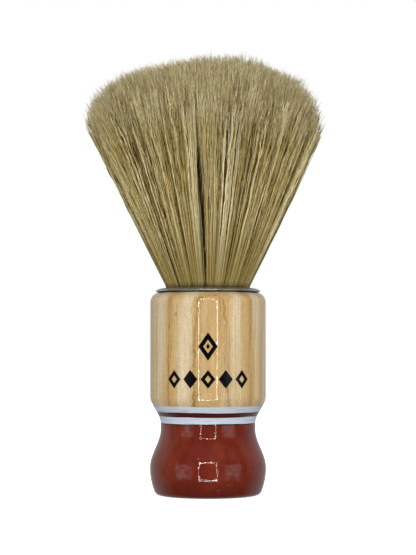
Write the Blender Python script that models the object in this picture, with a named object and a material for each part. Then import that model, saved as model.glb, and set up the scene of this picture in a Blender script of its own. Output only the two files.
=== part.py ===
"""A barber's shaving brush, standing on its foot with the bristles up.

The ash handle is turned in one piece and bored from the top. The knot of boar bristle is bound with twine,
set in resin inside an aluminium ferrule, and the ferrule is glued into the handle's socket. The foot and the
bands round the neck are coats of lacquer. The bristles spring sideways about the ferrule's mouth.

+Z is up, the origin is the centre of the foot's underside, and the front of the brush faces -Y.
"""

import math

import bmesh
import bpy

MM = 0.001
SIDES = 48  # facets round every turned piece
GAP = 0.3 * MM  # clearance kept between neighbouring pieces

# Driving dimensions
HANDLE_HEIGHT = 57.8 * MM
BARREL_RADIUS = 16.55 * MM
NECK_RADIUS = 13.55 * MM
KNOT_RADIUS = 12.2 * MM  # bristles packed in the ferrule
LOFT = 66.0 * MM  # bristle that stands out of the ferrule
FAN_RADIUS = 33.6 * MM  # widest point of the opened bristles

# Handle
BULGE_RADIUS = BARREL_RADIUS + 0.05 * MM
BULGE_HEIGHT = 7.7 * MM
FOOT_ROUND = 1.9 * MM  # radius that rolls the foot into its flat underside
FOOT_DRAW = 1.2 * MM  # how far the foot draws in below the bulge
FOOT_LIP = 1.27 * MM  # height where the draw meets the rolled edge
NECK_LOW = 18.9 * MM
NECK_HIGH = 20.3 * MM
COVE_TOP = 27.5 * MM
SHOULDER_ROUND = 2.9 * MM

# Lacquer bands, by the height of each lower edge
BAND_TOP = 25.5 * MM
UPPER_BAND_LOW = 23.75 * MM
LINE_LOW = 22.5 * MM
LOWER_BAND_LOW = 20.6 * MM
COAT = 0.3 * MM
COAT_SEAT = COAT + GAP + 0.05 * MM  # how far the wood stands back under a coat

# Ferrule and socket
FERRULE_BORE = KNOT_RADIUS + GAP
FERRULE_WALL = 0.5 * MM
FERRULE_SLEEVE = FERRULE_BORE + FERRULE_WALL
FLANGE_RADIUS = 14.95 * MM
FLANGE_RIM = 0.3 * MM
FLANGE_HEIGHT = 1.65 * MM
SLEEVE_LENGTH = 15.1 * MM
CRIMP = 0.9 * MM  # how far the sleeve's end turns in
SOCKET_RADIUS = FERRULE_SLEEVE + GAP
SOCKET_DEPTH = 16.0 * MM

FLANGE_SEAT = HANDLE_HEIGHT + GAP
FERRULE_TOP = FLANGE_SEAT + FLANGE_HEIGHT
SLEEVE_END = FLANGE_SEAT - SLEEVE_LENGTH
SOCKET_FLOOR = HANDLE_HEIGHT - SOCKET_DEPTH

# Knot, inside the ferrule
PLUG_HEIGHT = 3.4 * MM
PLUG_LOW = SLEEVE_END + FERRULE_WALL + GAP
BUTTS = PLUG_LOW + PLUG_HEIGHT + GAP
TWINE_RADIUS = 0.4 * MM
TWINE_TURNS = 5
TWINE_PITCH = 2 * TWINE_RADIUS + GAP
WAIST_RADIUS = KNOT_RADIUS - 2 * TWINE_RADIUS - 0.4 * MM
WAIST_LOW = BUTTS + 0.8 * MM
WAIST_HEIGHT = (TWINE_TURNS + 1) * TWINE_PITCH

# Fan of bristles above the ferrule
MOUTH = FERRULE_TOP - 0.15 * MM
FAN_SLOPE = 0.497  # outward run for each unit of height
FAN_DROOP = 0.4  # how much that slope eases, in 1/m
DOME_HEIGHT = 21.2 * MM
CROWN = MOUTH + LOFT
DOME_LOW = CROWN - DOME_HEIGHT

# The head bends about a point at the mouth, over a ball-shaped parting
PIVOT_HEIGHT = MOUTH + 0.4 * MM
ROOT_BALL = 15.7 * MM
HEAD_BALL = ROOT_BALL + GAP


def finish(name, colour, roughness, metallic=0.0):
    """A plain Principled finish."""
    material = bpy.data.materials.new(name)
    material.use_nodes = True
    shader = material.node_tree.nodes["Principled BSDF"]
    shader.inputs["Base Color"].default_value = (*colour, 1.0)
    shader.inputs["Roughness"].default_value = roughness
    shader.inputs["Metallic"].default_value = metallic
    material.diffuse_color = (*colour, 1.0)
    return material


def assembly(name, height=0.0, parent=None):
    """An empty that carries a group of pieces."""
    carrier = bpy.data.objects.new(name, None)
    bpy.context.collection.objects.link(carrier)
    carrier.parent = parent
    carrier.location.z = height
    return carrier


def turned(name, outline, material, carrier, seat):
    """A solid turned about Z from an outline of (radius, height) points.

    The outline runs once round the section. Where it starts and ends on the axis the piece is solid, and
    otherwise it is a ring. seat is the height that the object's origin stands at.
    """
    section = bmesh.new()
    points = [section.verts.new((radius, 0.0, height - seat)) for radius, height in outline]
    edges = [section.edges.new(pair) for pair in zip(points, points[1:])]
    if outline[0][0] > 0.0:
        edges.append(section.edges.new((points[-1], points[0])))
    bmesh.ops.spin(
        section,
        geom=points + edges,
        cent=(0.0, 0.0, 0.0),
        axis=(0.0, 0.0, 1.0),
        angle=2.0 * math.pi,
        steps=SIDES,
    )
    bmesh.ops.remove_doubles(section, verts=section.verts, dist=0.002 * MM)
    bmesh.ops.recalc_face_normals(section, faces=section.faces)
    mesh = bpy.data.meshes.new(name)
    section.to_mesh(mesh)
    section.free()
    mesh.shade_smooth()
    mesh.set_sharp_from_angle(angle=math.radians(35))
    mesh.materials.append(material)
    piece = bpy.data.objects.new(name, mesh)
    bpy.context.collection.objects.link(piece)
    piece.parent = carrier
    piece.location.z = seat - carrier.location.z
    return piece


def steps(low, high, count):
    """count + 1 evenly spaced values from low to high."""
    return [low + (high - low) * n / count for n in range(count + 1)]


def ogee(low, high, share):
    """A cosine sweep from low at share 0 to high at share 1."""
    return low + (high - low) * (1.0 - math.cos(math.pi * share)) / 2.0


def handle_radius(height):
    """The finished outer radius of the handle at a height, from the foot's lip up."""
    shoulder = HANDLE_HEIGHT - SHOULDER_ROUND
    if height > shoulder:
        drop = math.sqrt(max(SHOULDER_ROUND**2 - (height - shoulder) ** 2, 0.0))
        return BARREL_RADIUS - SHOULDER_ROUND + drop
    if height > COVE_TOP:
        return BARREL_RADIUS
    if height > NECK_HIGH:
        return ogee(NECK_RADIUS, BARREL_RADIUS, (height - NECK_HIGH) / (COVE_TOP - NECK_HIGH))
    if height > NECK_LOW:
        return NECK_RADIUS
    if height > BULGE_HEIGHT:
        return ogee(BULGE_RADIUS, NECK_RADIUS, (height - BULGE_HEIGHT) / (NECK_LOW - BULGE_HEIGHT))
    return BULGE_RADIUS - FOOT_DRAW * ((BULGE_HEIGHT - height) / (BULGE_HEIGHT - FOOT_LIP)) ** 2


def foot_edge(inset, lowest):
    """The rolled edge of the foot, from the height lowest up to the lip, stood back by inset."""
    lean = math.atan(2.0 * FOOT_DRAW / (BULGE_HEIGHT - FOOT_LIP))
    centre = handle_radius(FOOT_LIP) - FOOT_ROUND * math.cos(lean)
    start = math.asin(1.0 - lowest / FOOT_ROUND)
    turn = [start + (lean - start) * n / 4 for n in range(4)]
    return [(centre + FOOT_ROUND * math.cos(a) - inset, FOOT_ROUND * (1.0 - math.sin(a))) for a in turn]


def outer_face(low, high, count, inset=0.0):
    """Points up the outside of the handle between two heights."""
    return [(handle_radius(height) - inset, height) for height in steps(low, high, count)]


def handle(material, carrier):
    """The turned ash body, standing back under the lacquer and bored for the ferrule."""
    under_foot = foot_edge(COAT_SEAT, 0.0)
    under_coats = outer_face(FOOT_LIP, BULGE_HEIGHT, 2, COAT_SEAT)
    under_coats += outer_face(BULGE_HEIGHT, NECK_LOW, 6, COAT_SEAT)[1:]
    under_coats += outer_face(NECK_HIGH, BAND_TOP, 4, COAT_SEAT)
    barrel = outer_face(BAND_TOP, COVE_TOP, 2)
    shoulder_low = HANDLE_HEIGHT - SHOULDER_ROUND
    centre = BARREL_RADIUS - SHOULDER_ROUND
    shoulder = [
        (centre + SHOULDER_ROUND * math.cos(a), shoulder_low + SHOULDER_ROUND * math.sin(a))
        for a in steps(0.0, math.pi / 2.0, 5)
    ]
    socket = [(SOCKET_RADIUS, HANDLE_HEIGHT), (SOCKET_RADIUS, SOCKET_FLOOR), (0.0, SOCKET_FLOOR)]
    outline = [(0.0, 0.0), *under_foot, *under_coats, *barrel, *shoulder, *socket]
    return turned("handle", outline, material, carrier, 0.0)


def coat(name, low, high, count, material, carrier):
    """A film of lacquer round the handle between two heights."""
    outside = outer_face(low + GAP / 2.0, high - GAP / 2.0, count)
    inside = [(radius - COAT, height) for radius, height in reversed(outside)]
    return turned(name, outside + inside, material, carrier, low)


def foot_coat(material, carrier):
    """The lacquer on the foot and the waist. It stops just above the surface that the brush stands on."""
    outside = foot_edge(0.0, GAP)
    outside += outer_face(FOOT_LIP, BULGE_HEIGHT, 2)
    outside += outer_face(BULGE_HEIGHT, NECK_LOW, 6)[1:]
    outside.append((handle_radius(NECK_HIGH), LOWER_BAND_LOW - GAP / 2.0))
    inside = [(radius - COAT, height) for radius, height in reversed(outside)]
    return turned("foot_lacquer", outside + inside, material, carrier, 0.0)


def ferrule(material, carrier):
    """A spun aluminium sleeve with a sloping flange that covers the socket's mouth."""
    flange = [
        (FLANGE_RADIUS - 0.15 * MM, FLANGE_SEAT),
        (FLANGE_RADIUS, FLANGE_SEAT + 0.15 * MM),
        (FLANGE_RADIUS, FLANGE_SEAT + FLANGE_RIM),
    ]
    crest_radius = (FLANGE_RADIUS + FERRULE_BORE) / 2.0 - 0.25 * MM
    slope = [
        (
            FLANGE_RADIUS + (crest_radius - FLANGE_RADIUS) * share,
            FLANGE_SEAT + FLANGE_RIM + (FLANGE_HEIGHT - FLANGE_RIM) * math.sin(share * math.pi / 2.0) ** 0.9,
        )
        for share in (0.25, 0.5, 0.75, 1.0)
    ]
    mouth = [(FERRULE_BORE + 0.2 * MM, FERRULE_TOP), (FERRULE_BORE, FERRULE_TOP - 0.2 * MM)]
    crimp = [
        (FERRULE_BORE, SLEEVE_END + FERRULE_WALL),
        (FERRULE_BORE - CRIMP, SLEEVE_END + FERRULE_WALL),
        (FERRULE_BORE - CRIMP, SLEEVE_END),
    ]
    sleeve = [(FERRULE_SLEEVE, SLEEVE_END), (FERRULE_SLEEVE, FLANGE_SEAT)]
    return turned("ferrule", sleeve + flange + slope + mouth + crimp, material, carrier, FLANGE_SEAT)


def disc(name, radius, low, high, material, carrier):
    """A plain round block."""
    outline = [(0.0, low), (radius, low), (radius, high), (0.0, high)]
    return turned(name, outline, material, carrier, low)


def binding_twine(material, carrier):
    """Twine wound round the waist of the knot, as one helix with square-cut ends."""
    per_turn = 16
    centre = WAIST_RADIUS + 0.35 * MM + TWINE_RADIUS
    start = (WAIST_HEIGHT - TWINE_TURNS * TWINE_PITCH) / 2.0
    data = bpy.data.curves.new("binding_twine", "CURVE")
    data.dimensions = "3D"
    data.bevel_depth = TWINE_RADIUS
    data.bevel_resolution = 1
    data.use_fill_caps = True
    spline = data.splines.new("POLY")
    spline.points.add(TWINE_TURNS * per_turn)
    for n, point in enumerate(spline.points):
        angle = 2.0 * math.pi * n / per_turn
        rise = start + TWINE_PITCH * n / per_turn
        point.co = (centre * math.cos(angle), centre * math.sin(angle), rise, 1.0)
    data.materials.append(material)
    piece = bpy.data.objects.new("binding_twine", data)
    bpy.context.collection.objects.link(piece)
    piece.parent = carrier
    piece.location.z = WAIST_LOW
    return piece


def fan_radius(height):
    """The outer radius of the opened bristles at a height above the ferrule's mouth."""
    rise = height - MOUTH
    return KNOT_RADIUS + FAN_SLOPE * rise - FAN_DROOP * rise**2


def parting(ball):
    """Where the fan's outside meets a ball about the pivot: an angle above level and the height reached."""
    low, high = 0.0, math.pi / 2.0
    for _ in range(40):
        angle = (low + high) / 2.0
        inside = ball * math.cos(angle) > fan_radius(PIVOT_HEIGHT + ball * math.sin(angle))
        low, high = (angle, high) if inside else (low, angle)
    return angle, PIVOT_HEIGHT + ball * math.sin(angle)


def ball_cap(ball, from_angle, count):
    """Points on a ball about the pivot, from an angle above level up to the axis."""
    cap = [
        (ball * math.cos(a), PIVOT_HEIGHT + ball * math.sin(a))
        for a in steps(from_angle, math.pi / 2.0, count)
    ]
    cap[-1] = (0.0, PIVOT_HEIGHT + ball)
    return cap


def bristle_root(material, carrier):
    """The packed bristles in the ferrule, waisted for the twine, and the stiff stretch above the mouth."""
    angle, top = parting(ROOT_BALL)
    packed = [
        (0.0, BUTTS),
        (KNOT_RADIUS, BUTTS),
        (KNOT_RADIUS, WAIST_LOW - GAP),
        (WAIST_RADIUS, WAIST_LOW),
        (WAIST_RADIUS, WAIST_LOW + WAIST_HEIGHT),
        (KNOT_RADIUS, WAIST_LOW + WAIST_HEIGHT + GAP),
    ]
    stiff = [(fan_radius(height), height) for height in steps(MOUTH, top, 2)[:-1]]
    outline = packed + stiff + ball_cap(ROOT_BALL, angle, 7)
    return turned("bristle_root", outline, material, carrier, BUTTS)


def bristle_head(material, carrier):
    """The free bristles: a fan that opens to the rim and closes over in a low dome."""
    angle, bottom = parting(HEAD_BALL)
    hollow = list(reversed(ball_cap(HEAD_BALL, angle, 7)))
    fan = [(fan_radius(height), height) for height in steps(bottom, DOME_LOW - 2.0 * MM, 5)[1:]]
    dome = [
        (FAN_RADIUS * math.cos(a), DOME_LOW + DOME_HEIGHT * math.sin(a))
        for a in steps(0.0, math.pi / 2.0, 9)
    ]
    dome[-1] = (0.0, CROWN)
    return turned("bristle_head", hollow + fan + dome, material, carrier, PIVOT_HEIGHT)


def build():
    for old in list(bpy.data.objects):
        bpy.data.objects.remove(old)
    ash = finish("ash", (0.60, 0.42, 0.20), 0.3)
    white = finish("white_lacquer", (0.58, 0.62, 0.70), 0.35)
    dark = finish("dark_lacquer", (0.055, 0.012, 0.010), 0.25)
    brick = finish("brick_lacquer", (0.17, 0.028, 0.015), 0.2)
    aluminium = finish("aluminium", (0.60, 0.61, 0.63), 0.25, 1.0)
    adhesive = finish("adhesive", (0.50, 0.40, 0.22), 0.3)
    resin = finish("resin", (0.05, 0.03, 0.02), 0.3)
    twine = finish("twine", (0.55, 0.47, 0.33), 0.85)
    bristle = finish("boar_bristle", (0.29, 0.22, 0.09), 0.55)

    body = assembly("handle_assembly")
    handle(ash, body)
    coat("upper_white_band", UPPER_BAND_LOW, BAND_TOP, 2, white, body)
    coat("dark_line", LINE_LOW, UPPER_BAND_LOW, 1, dark, body)
    coat("lower_white_band", LOWER_BAND_LOW, LINE_LOW, 2, white, body)
    foot_coat(brick, body)
    disc("glue_bed", FERRULE_SLEEVE, SOCKET_FLOOR + GAP, SLEEVE_END - GAP, adhesive, body)
    ferrule(aluminium, body)
    disc("resin_plug", KNOT_RADIUS, PLUG_LOW, PLUG_LOW + PLUG_HEIGHT, resin, body)
    binding_twine(twine, body)
    bristle_root(bristle, body)

    head = assembly("head_flex_pivot", PIVOT_HEIGHT, body)
    bristle_head(bristle, head)


build()
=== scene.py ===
# A barber's shaving brush: ash handle, lacquered foot, aluminium ferrule and a fan of boar bristle.
# Lengths in the dictionaries are millimetres unless a note says otherwise. The front of the brush faces -Y.
import math

import bpy
import numpy as np
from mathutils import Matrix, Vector


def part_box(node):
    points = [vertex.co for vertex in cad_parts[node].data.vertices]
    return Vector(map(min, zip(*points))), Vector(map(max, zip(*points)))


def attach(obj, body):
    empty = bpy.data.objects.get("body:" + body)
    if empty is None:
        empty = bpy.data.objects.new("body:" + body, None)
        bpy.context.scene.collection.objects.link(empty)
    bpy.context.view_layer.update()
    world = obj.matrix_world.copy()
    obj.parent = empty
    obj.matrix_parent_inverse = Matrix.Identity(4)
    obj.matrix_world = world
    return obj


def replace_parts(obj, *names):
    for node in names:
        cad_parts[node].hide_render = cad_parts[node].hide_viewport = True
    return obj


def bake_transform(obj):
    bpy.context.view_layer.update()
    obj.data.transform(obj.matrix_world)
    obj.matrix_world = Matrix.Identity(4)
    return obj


mm = 0.001
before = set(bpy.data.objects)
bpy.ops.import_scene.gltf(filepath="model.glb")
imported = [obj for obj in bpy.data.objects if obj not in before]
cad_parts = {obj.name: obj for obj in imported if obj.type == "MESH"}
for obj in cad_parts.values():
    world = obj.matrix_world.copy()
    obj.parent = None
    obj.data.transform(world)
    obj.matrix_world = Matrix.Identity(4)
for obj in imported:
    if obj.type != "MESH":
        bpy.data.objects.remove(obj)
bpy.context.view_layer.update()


def height(node, end):
    # lowest (0) or highest (1) point of a CAD node
    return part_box(node)[end].z / mm


def reach(node):
    # outer radius of a CAD node
    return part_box(node)[1].x / mm


class Wire:
    # a socket that can stand in an ordinary expression; each operator adds one Math node
    def __init__(self, finish, socket):
        self.finish = finish
        self.socket = socket

    def __add__(self, other):
        return self.finish.maths("ADD", self, other)

    __radd__ = __add__

    def __sub__(self, other):
        return self.finish.maths("SUBTRACT", self, other)

    def __rsub__(self, other):
        return self.finish.maths("SUBTRACT", other, self)

    def __mul__(self, other):
        return self.finish.maths("MULTIPLY", self, other)

    __rmul__ = __mul__

    def __truediv__(self, other):
        return self.finish.maths("DIVIDE", self, other)


class Finish:
    # one material, or a world, and the nodes that feed its shader
    def __init__(self, name, world=None):
        self.material = world or bpy.data.materials.new(name)
        self.material.use_nodes = True
        self.tree = self.material.node_tree
        self.shader = self.tree.nodes["Background" if world else "Principled BSDF"]

    def feed(self, socket, value):
        if isinstance(value, Wire):
            self.tree.links.new(value.socket, socket)
        else:
            socket.default_value = value

    def node(self, kind, settings=None, inputs=None, out=0):
        made = self.tree.nodes.new("ShaderNode" + kind)
        for key, value in (settings or {}).items():
            if key == "stops":
                self.setStops(made.color_ramp, value)
            else:
                setattr(made, key, value)
        for key, value in (inputs or {}).items():
            self.feed(made.inputs[key], value)
        return Wire(self, made.outputs[out])

    def setStops(self, ramp, stops):
        while len(ramp.elements) < len(stops):
            ramp.elements.new(0.5)
        for element, (place, colour) in zip(ramp.elements, stops):
            element.position = place
            element.color = (*colour, 1.0)

    def maths(self, operation, *values, clamp=False):
        return self.node("Math", {"operation": operation, "use_clamp": clamp}, dict(enumerate(values)))

    def mix(self, factor, first, second):
        # colours, blended by a factor
        def rgba(value):
            return value if isinstance(value, Wire) else (*value, 1.0)

        return self.node("Mix", {"data_type": "RGBA"}, {0: factor, 6: rgba(first), 7: rgba(second)}, out=2)

    def tint(self, colour, amount):
        # a colour made lighter or darker by a number
        grey = self.node("CombineColor", None, {0: amount, 1: amount, 2: amount})
        settings = {"data_type": "RGBA", "blend_type": "MULTIPLY"}
        return self.node("Mix", settings, {0: 1.0, 6: colour, 7: grey}, out=2)

    def step(self, value, low, high):
        # 0 below low, 1 above high, smooth between
        return self.node("MapRange", {"interpolation_type": "SMOOTHSTEP"}, {0: value, 1: low, 2: high})

    def place(self, stretch=(1.0, 1.0, 1.0)):
        # the object's own coordinates in millimetres, stretched
        where = self.node("TexCoord", out=3)
        scale = tuple(s / mm for s in stretch)
        return self.node("VectorMath", {"operation": "MULTIPLY"}, {0: where, 1: scale})

    def axes(self, vector):
        split = self.node("SeparateXYZ", None, {0: vector})
        return [Wire(self, socket) for socket in split.socket.node.outputs]

    def noise(self, vector, scale, detail=2.0, roughness=0.5):
        inputs = {"Vector": vector, "Scale": scale, "Detail": detail, "Roughness": roughness}
        return self.node("TexNoise", None, inputs)

    def noiseAlong(self, value, scale, detail):
        # noise that depends on one number
        inputs = {"W": value, "Scale": scale, "Detail": detail}
        return self.node("TexNoise", {"noise_dimensions": "1D"}, inputs)

    def bump(self, relief, depth):
        # relief from 0 to 1 becomes depth millimetres
        return self.node("Bump", None, {"Distance": depth * mm, "Height": relief})

    def finishWith(self, **sockets):
        for name, value in sockets.items():
            words = "".join(" " + c if c.isupper() else c for c in name).strip()
            label = {"I O R": "IOR", "Specular": "Specular IOR Level"}.get(words, words)
            if label == "Base Color" and not isinstance(value, Wire):
                value = (*value, 1.0)
            self.feed(self.shader.inputs[label], value)
        return self.material


def makePiece(name, points, faces, material, sharpAngle=40):
    mesh = bpy.data.meshes.new(name)
    mesh.from_pydata((points * mm).tolist(), [], faces)
    mesh.shade_smooth()
    mesh.set_sharp_from_angle(angle=math.radians(sharpAngle))
    mesh.materials.append(material)
    piece = bpy.data.objects.new(name, mesh)
    bpy.context.scene.collection.objects.link(piece)
    return piece


def turnedPiece(name, radii, heights, material, ring=False, sides=192, wobble=None, sharpAngle=40):
    # point(row, angle) = (radius[row] cos angle, radius[row] sin angle, height[row] + wobble(row, angle)).
    # A ring's last row joins its first; any other outline starts and ends on the axis, at one point each.
    angle = np.arange(sides) * 2 * np.pi / sides
    r, z = np.asarray(radii, float), np.asarray(heights, float)
    if not ring:
        poles = np.array([[0, 0, z[0]], [0, 0, z[-1]]])
        r, z = r[1:-1], z[1:-1]
    tall = z[:, None] + (0 if wobble is None else wobble(angle))
    tall = np.broadcast_to(tall, (len(r), sides))
    grid = np.stack([r[:, None] * np.cos(angle), r[:, None] * np.sin(angle), tall], -1)
    row = np.arange(len(r) if ring else len(r) - 1)[:, None] * sides
    column = np.arange(sides)[None, :]
    beside = (column + 1) % sides
    above = (row + sides) % (len(r) * sides)
    quads = np.stack([row + column, row + beside, above + beside, above + column], -1).reshape(-1, 4)
    faces = quads.tolist()
    points = grid.reshape(-1, 3)
    if not ring:
        first, last = len(points), len(points) + 1
        top = (len(r) - 1) * sides
        faces += [[first, (c + 1) % sides, c] for c in range(sides)]
        faces += [[last, top + c, top + (c + 1) % sides] for c in range(sides)]
        points = np.vstack([points, poles])
    return makePiece(name, points, faces, material, sharpAngle)


def arc(centre, radius, start, end, count):
    # points on an arc in the (radius, height) plane, angles in degrees above level
    angle = np.radians(np.linspace(start, end, count))
    return centre[0] + radius * np.cos(angle), centre[1] + radius * np.sin(angle)


def joined(*runs):
    # runs of (radii, heights) one after the other
    radii = [np.atleast_1d(r) for r, _ in runs]
    heights = [np.atleast_1d(z) for _, z in runs]
    return np.concatenate(radii), np.concatenate(heights)


camera = {"distance": 480.0, "height": 42.0, "aim": 62.1, "lens": 108.5}


def makeCamera():
    data = bpy.data.cameras.new("camera")
    data.sensor_width = 36.0
    data.lens = camera["lens"]
    data.clip_start = 0.01
    seen = bpy.data.objects.new("camera", data)
    tilt = math.atan2(camera["aim"] - camera["height"], camera["distance"])
    seen.location = (0.0, -camera["distance"] * mm, camera["height"] * mm)
    seen.rotation_euler = (math.pi / 2 + tilt, 0.0, 0.0)
    bpy.context.scene.collection.objects.link(seen)
    bpy.context.scene.camera = seen


studio = {
    "frameSize": (410.0, 540.0),  # the frame of four thin strip lamps that the camera looks through
    "frameDistance": 640.0,
    "uprights": {"thick": 5.0, "watts": 0.34},
    "crossbars": {"thick": 8.0, "watts": 0.55},
    "wallLight": 0.50,  # white walls at the sides and behind
    "panelLight": 0.95,  # a bright panel on each side of the front
    "roomLight": 0.07,  # the dim room behind the camera
    "ceilingLight": 0.24,
    "fills": [
        {"name": "frontFill", "place": (0, -720, 200), "size": (460, 420), "watts": 4.0},
        {"name": "backFill", "place": (0, 720, 260), "size": (900, 700), "watts": 3.0},
        {"name": "leftFill", "place": (-720, 0, 260), "size": (700, 700), "watts": 1.3},
        {"name": "rightFill", "place": (720, 0, 260), "size": (700, 700), "watts": 1.3},
    ],
}


def lamp(name, place, size, watts, mirrored=True):
    # an area light turned towards the middle of the brush; one that isn't mirrored leaves no highlight
    data = bpy.data.lights.new(name, "AREA")
    data.shape = "RECTANGLE"
    data.size, data.size_y = size[0] * mm, size[1] * mm
    data.energy = watts
    made = bpy.data.objects.new(name, data)
    made.location = Vector(place) * mm
    toward = Vector((0.0, 0.0, camera["aim"] * mm)) - made.location
    made.rotation_euler = toward.to_track_quat("-Z", "Y").to_euler()
    made.visible_glossy = mirrored
    bpy.context.scene.collection.objects.link(made)


def roomLevel(finish, direction):
    # how bright the room is in a direction: dim in front, a panel on each side of that, then white walls
    x, y, z = finish.axes(direction)
    flat = finish.maths("SQRT", x * x + y * y)
    ahead = 0.0 - y / finish.maths("MAXIMUM", flat, 0.001)  # 1 straight ahead, 0 at the sides, -1 behind
    tall = finish.maths("ABSOLUTE", z)
    aside = finish.step(ahead, 0.30, 0.46) * (1.0 - finish.step(ahead, 0.79, 0.86))
    cloudy = finish.step(finish.noise(direction, 7.0, 3.0, 0.6), 0.38, 0.62)
    panel = aside * (1.0 - finish.step(tall, 0.20, 0.38)) * (0.35 + 0.95 * cloudy)
    wall = 1.0 - finish.step(ahead, -0.60, 0.26)
    room = studio["roomLight"]
    level = room + (studio["wallLight"] - room) * wall + (studio["panelLight"] - room) * panel
    overhead = finish.step(z, 0.50, 0.75)
    return level + (studio["ceilingLight"] - level) * overhead


def makeStudio():
    wide, tall = studio["frameSize"]
    y, middle = -studio["frameDistance"], camera["height"]
    up, bar = studio["uprights"], studio["crossbars"]
    for side in (-1, 1):
        lamp(f"upright{side}", (side * wide / 2, y, middle), (up["thick"], tall), up["watts"])
        lamp(f"crossbar{side}", (0.0, y, middle + side * tall / 2), (wide, bar["thick"]), bar["watts"])
    for fill in studio["fills"]:
        lamp(fill["name"], fill["place"], fill["size"], fill["watts"], mirrored=False)

    world = bpy.data.worlds.new("studio")
    bpy.context.scene.world = world
    sky = Finish("studio", world)
    seen = sky.node("LightPath", out=0)
    level = roomLevel(sky, sky.node("TexCoord", out=0))
    sky.feed(sky.shader.inputs["Color"], (1.0, 1.0, 1.0, 1.0))
    sky.feed(sky.shader.inputs["Strength"], level + (1.0 - level) * seen)


ground = {
    "rings": (60.0, 200.0, 700.0, 4000.0),
    "sides": 64,
    "drop": 0.02,  # how far it lies below the foot
    "paper": (0.93, 0.93, 0.94, 1.0),
    "glow": 0.80,
}


def makeFloor():
    # the floor looks white; the brush's gloss mirrors the room instead of it
    finish = Finish("floorWhite")
    cloudy = finish.noise(finish.place(), 0.02, 3.0)
    seen = finish.node("LightPath", out=0)
    paper = finish.tint(ground["paper"], (0.97 + 0.05 * cloudy) * (0.35 + 0.65 * seen))
    glow = finish.tint((1.0, 1.0, 1.0, 1.0), ground["glow"] * seen)
    finish.finishWith(BaseColor=paper, Roughness=0.7, Specular=0.1, EmissionColor=glow, EmissionStrength=1.0)
    # point(ring, angle) = (radius cos angle, radius sin angle, 0), with one face over the middle
    sides = ground["sides"]
    angle = np.linspace(0, 2 * np.pi, sides, endpoint=False)
    radii = np.array(ground["rings"])[:, None]
    grid = np.stack([radii * np.cos(angle), radii * np.sin(angle), np.zeros((len(radii), sides))], -1)
    row, column = np.arange(len(radii) - 1)[:, None] * sides, np.arange(sides)[None, :]
    beside, outer = (column + 1) % sides, row + sides
    faces = np.stack([row + column, outer + column, outer + beside, row + beside], -1).reshape(-1, 4)
    faces = faces.tolist() + [list(range(sides))]
    floor = makePiece("floor", grid.reshape(-1, 3), faces, finish.material)
    floor.location.z = -ground["drop"] * mm
    floor.visible_glossy = False


ash = {
    "pith": (-3.0, 95.0),  # centre of the tree's rings, behind the brush
    "lean": 0.006,  # how far the rings lean forward for each unit of height
    "ringGap": 3.7,
    "firstRing": 0.75,  # depth of the outermost ring line below the front of the barrel
    "wander": 0.9,
    "pale": (0.635, 0.512, 0.315),
    "tan": (0.560, 0.375, 0.160),
    "brown": (0.315, 0.165, 0.042),
    "pinKnot": (-8.9, 51.3),  # across and up, on the front
    "flangeShadowRadius": 14.9,  # radius within which the top is darkened: painted shadow under the ferrule's flange
}


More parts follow.
